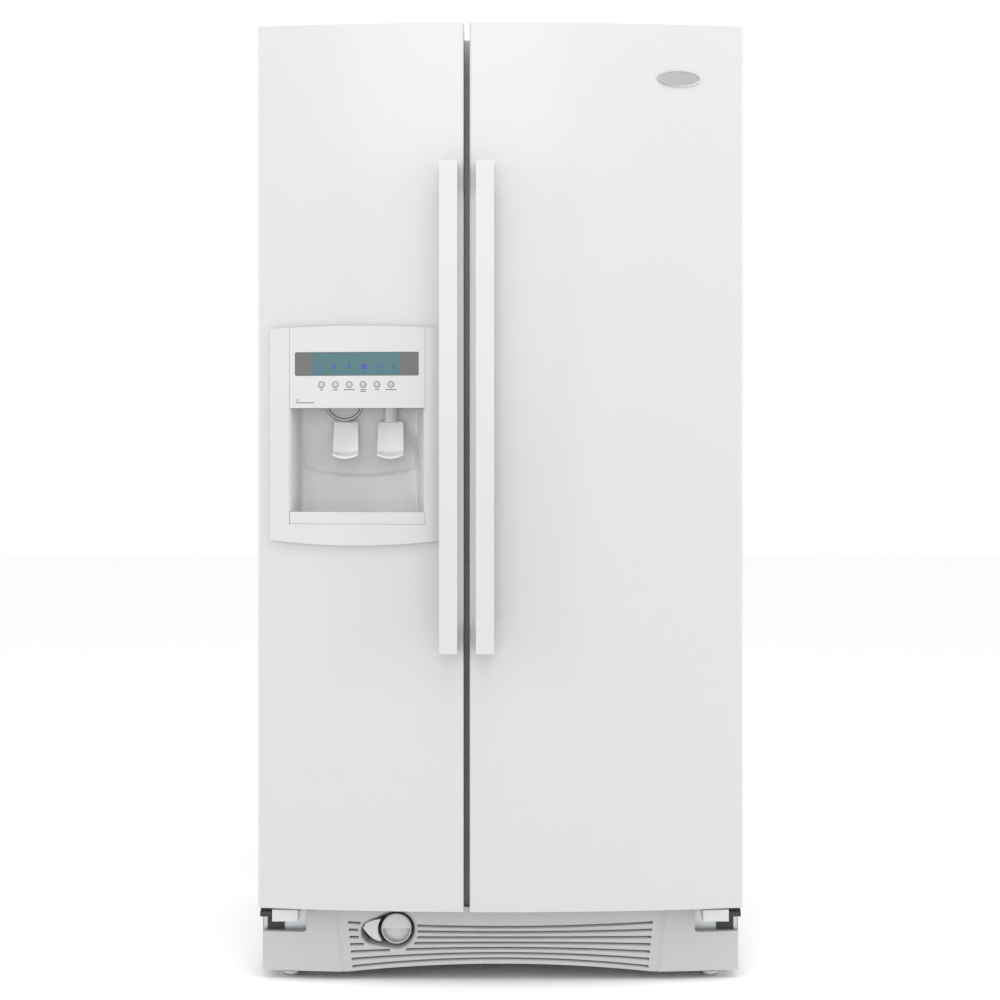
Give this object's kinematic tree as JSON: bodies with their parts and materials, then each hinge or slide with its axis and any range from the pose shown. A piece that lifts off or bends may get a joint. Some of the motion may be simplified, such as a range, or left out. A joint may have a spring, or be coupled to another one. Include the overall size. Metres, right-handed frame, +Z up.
{
  "type": "side by side refrigerator",
  "caption": "White free-standing side by side refrigerator with bowed doors, long bar handles, an ice and water dispenser in the freezer door, and a slotted base grille.",
  "frame": {"origin": "on the floor, at the centre of the footprint", "axes": "+X to the right of someone facing the doors, +Y to the back, +Z up"},
  "size_m": [0.898, 0.845, 1.774],
  "materials": {
    "white_enamel": "gloss",
    "white_moulding": "satin",
    "white_liner": "satin",
    "door_liner": "satin",
    "foam": "matt",
    "gasket": "matt",
    "galvanised": "satin",
    "fibre_board": "matt",
    "hinge_steel": "satin",
    "black_steel": "gloss",
    "black_plastic": "matt",
    "aluminium_fins": "satin",
    "auger_steel": "satin",
    "zinc": "satin",
    "roller_nylon": "matt",
    "shelf_glass": "clear",
    "white_wire": "satin",
    "clear_plastic": "clear",
    "white_plastic": "satin",
    "paddle_plastic": "satin",
    "button_grey": "satin",
    "display": "gloss",
    "badge_chrome": "polished"
  },
  "bodies": {
    "root": {"back_panel": "galvanised", "base_frame": "galvanised", "base_grille": "white_moulding", "cabinet_shell": "white_enamel", "compressor": "black_steel", "condenser_coil": "black_steel", "condenser_fan_frame": "black_plastic", "door_hinges": "hinge_steel", "evaporator_coil": "aluminium_fins", "evaporator_cover": "white_liner", "filter_housing": "black_plastic", "foam_insulation": "foam", "freezer_liner": "white_liner", "freezer_shelves": "white_wire", "fridge_liner": "white_liner", "hinge_covers": "white_moulding", "ice_maker": "white_plastic", "machine_cover": "fibre_board", "shelf_frames": "white_liner", "shelf_glass": "shelf_glass"},
    "freezer_door": {"freezer_door_skin": "white_enamel", "freezer_door_liner": "door_liner", "freezer_door_gasket": "gasket", "freezer_handle": "white_moulding", "freezer_door_bins": "clear_plastic", "dispenser_bezel": "white_moulding", "control_panel": "white_moulding", "display_window": "display", "dispenser_recess": "white_moulding", "ice_chute": "white_liner"},
    "fridge_door": {"fridge_door_skin": "white_enamel", "fridge_door_liner": "door_liner", "fridge_door_gasket": "gasket", "fridge_handle": "white_moulding", "fridge_door_bins": "clear_plastic", "badge": "badge_chrome"},
    "dairy_cover": {"dairy_cover": "clear_plastic"},
    "ice_paddle": {"ice_paddle": "paddle_plastic"},
    "water_paddle": {"water_paddle": "paddle_plastic"},
    "chute_flap": {"chute_flap": "paddle_plastic"},
    "drip_tray": {"drip_tray": "white_moulding"},
    "filter_button": {"filter_button": "white_moulding"},
    "water_filter": {"water_filter": "white_plastic"},
    "filter_cap": {"filter_cap": "white_moulding"},
    "ice_bin": {"ice_bin": "white_plastic"},
    "ice_auger": {"ice_auger": "auger_steel"},
    "freezer_basket": {"freezer_basket": "white_plastic"},
    "crisper_upper": {"crisper_upper": "clear_plastic"},
    "crisper_lower": {"crisper_lower": "clear_plastic"},
    "condenser_fan": {"condenser_fan": "black_plastic"},
    "evaporator_fan": {"evaporator_fan": "black_plastic"},
    "levelling_leg_left": {"levelling_leg_left": "zinc"},
    "levelling_leg_right": {"levelling_leg_right": "zinc"},
    "rear_rollers": {"rear_rollers": "roller_nylon"},
    "button_1": {"button_1": "button_grey"},
    "button_2": {"button_2": "button_grey"},
    "button_3": {"button_3": "button_grey"},
    "button_4": {"button_4": "button_grey"},
    "button_5": {"button_5": "button_grey"},
    "button_6": {"button_6": "button_grey"}
  },
  "joints": [
    {"name": "freezer_door_hinge", "type": "hinge", "parent": "root", "child": "freezer_door", "pos_m": [-0.425, -0.312, 0.95], "axis": [0, 0, -1], "range_deg": [0, 125]},
    {"name": "fridge_door_hinge", "type": "hinge", "parent": "root", "child": "fridge_door", "pos_m": [0.425, -0.312, 0.95], "axis": [0, 0, 1], "range_deg": [0, 125]},
    {"name": "ice_paddle_press", "type": "hinge", "parent": "freezer_door", "child": "ice_paddle", "pos_m": [-0.289, -0.29, 1.04], "axis": [1, 0, 0], "range_deg": [0, 8], "stiffness_Nm_per_rad": 0.2, "springref_deg": -17.19},
    {"name": "chute_flap_swing", "type": "hinge", "parent": "freezer_door", "child": "chute_flap", "pos_m": [-0.29, -0.3356, 1.10225], "axis": [1, 0, 0], "range_deg": [0, 32]},
    {"name": "water_paddle_press", "type": "hinge", "parent": "freezer_door", "child": "water_paddle", "pos_m": [-0.205, -0.29, 1.04], "axis": [1, 0, 0], "range_deg": [0, 8], "stiffness_Nm_per_rad": 0.2, "springref_deg": -17.19},
    {"name": "drip_tray_slide", "type": "slide", "parent": "freezer_door", "child": "drip_tray", "axis": [0, -1, 0], "range_m": [0, 0.09]},
    {"name": "filter_button_press", "type": "slide", "parent": "root", "child": "filter_button", "axis": [0, 1, 0], "range_m": [0, 0.004], "stiffness_N_per_m": 150, "springref_m": -0.004},
    {"name": "water_filter_slide", "type": "slide", "parent": "root", "child": "water_filter", "axis": [0, -1, 0], "range_m": [0, 0.25]},
    {"name": "filter_cap_turn", "type": "hinge", "parent": "water_filter", "child": "filter_cap", "pos_m": [-0.1944, -0.29, 0.096], "axis": [0, 1, 0], "range_deg": [0, 90]},
    {"name": "ice_bin_slide", "type": "slide", "parent": "root", "child": "ice_bin", "axis": [0, -1, 0], "range_m": [0, 0.09]},
    {"name": "ice_auger_turn", "type": "hinge", "parent": "ice_bin", "child": "ice_auger", "pos_m": [-0.242, 0.08, 1.2795], "axis": [0, 1, 0], "continuous": true},
    {"name": "freezer_basket_slide", "type": "slide", "parent": "root", "child": "freezer_basket", "axis": [0, -1, 0], "range_m": [0, 0.11]},
    {"name": "crisper_upper_slide", "type": "slide", "parent": "root", "child": "crisper_upper", "axis": [0, -1, 0], "range_m": [0, 0.11]},
    {"name": "crisper_lower_slide", "type": "slide", "parent": "root", "child": "crisper_lower", "axis": [0, -1, 0], "range_m": [0, 0.11]},
    {"name": "dairy_cover_lift", "type": "hinge", "parent": "fridge_door", "child": "dairy_cover", "pos_m": [0.182, -0.2815, 1.588], "axis": [1, 0, 0], "range_deg": [0, 60]},
    {"name": "condenser_fan_spin", "type": "hinge", "parent": "root", "child": "condenser_fan", "pos_m": [0.014, 0.338, 0.136], "axis": [1, 0, 0], "continuous": true},
    {"name": "evaporator_fan_spin", "type": "hinge", "parent": "root", "child": "evaporator_fan", "pos_m": [-0.242, 0.322, 1], "axis": [0, 1, 0], "continuous": true},
    {"name": "left_leg_screw", "type": "slide", "parent": "root", "child": "levelling_leg_left", "axis": [0, 0, 1], "range_m": [-0.012, 0]},
    {"name": "right_leg_screw", "type": "slide", "parent": "root", "child": "levelling_leg_right", "axis": [0, 0, 1], "range_m": [-0.012, 0]},
    {"name": "rear_rollers_roll", "type": "hinge", "parent": "root", "child": "rear_rollers", "pos_m": [0, 0.36, 0.022], "axis": [1, 0, 0], "continuous": true},
    {"name": "button_1_press", "type": "slide", "parent": "freezer_door", "child": "button_1", "axis": [0, 1, 0], "range_m": [0, 0.0015], "stiffness_N_per_m": 60, "springref_m": -0.002},
    {"name": "button_2_press", "type": "slide", "parent": "freezer_door", "child": "button_2", "axis": [0, 1, 0], "range_m": [0, 0.0015], "stiffness_N_per_m": 60, "springref_m": -0.002},
    {"name": "button_3_press", "type": "slide", "parent": "freezer_door", "child": "button_3", "axis": [0, 1, 0], "range_m": [0, 0.0015], "stiffness_N_per_m": 60, "springref_m": -0.002},
    {"name": "button_4_press", "type": "slide", "parent": "freezer_door", "child": "button_4", "axis": [0, 1, 0], "range_m": [0, 0.0015], "stiffness_N_per_m": 60, "springref_m": -0.002},
    {"name": "button_5_press", "type": "slide", "parent": "freezer_door", "child": "button_5", "axis": [0, 1, 0], "range_m": [0, 0.0015], "stiffness_N_per_m": 60, "springref_m": -0.002},
    {"name": "button_6_press", "type": "slide", "parent": "freezer_door", "child": "button_6", "axis": [0, 1, 0], "range_m": [0, 0.0015], "stiffness_N_per_m": 60, "springref_m": -0.002}
  ],
  "couplings": [
    {"joint": "chute_flap_swing", "follows": "ice_paddle_press", "ratio": 4}
  ]
}
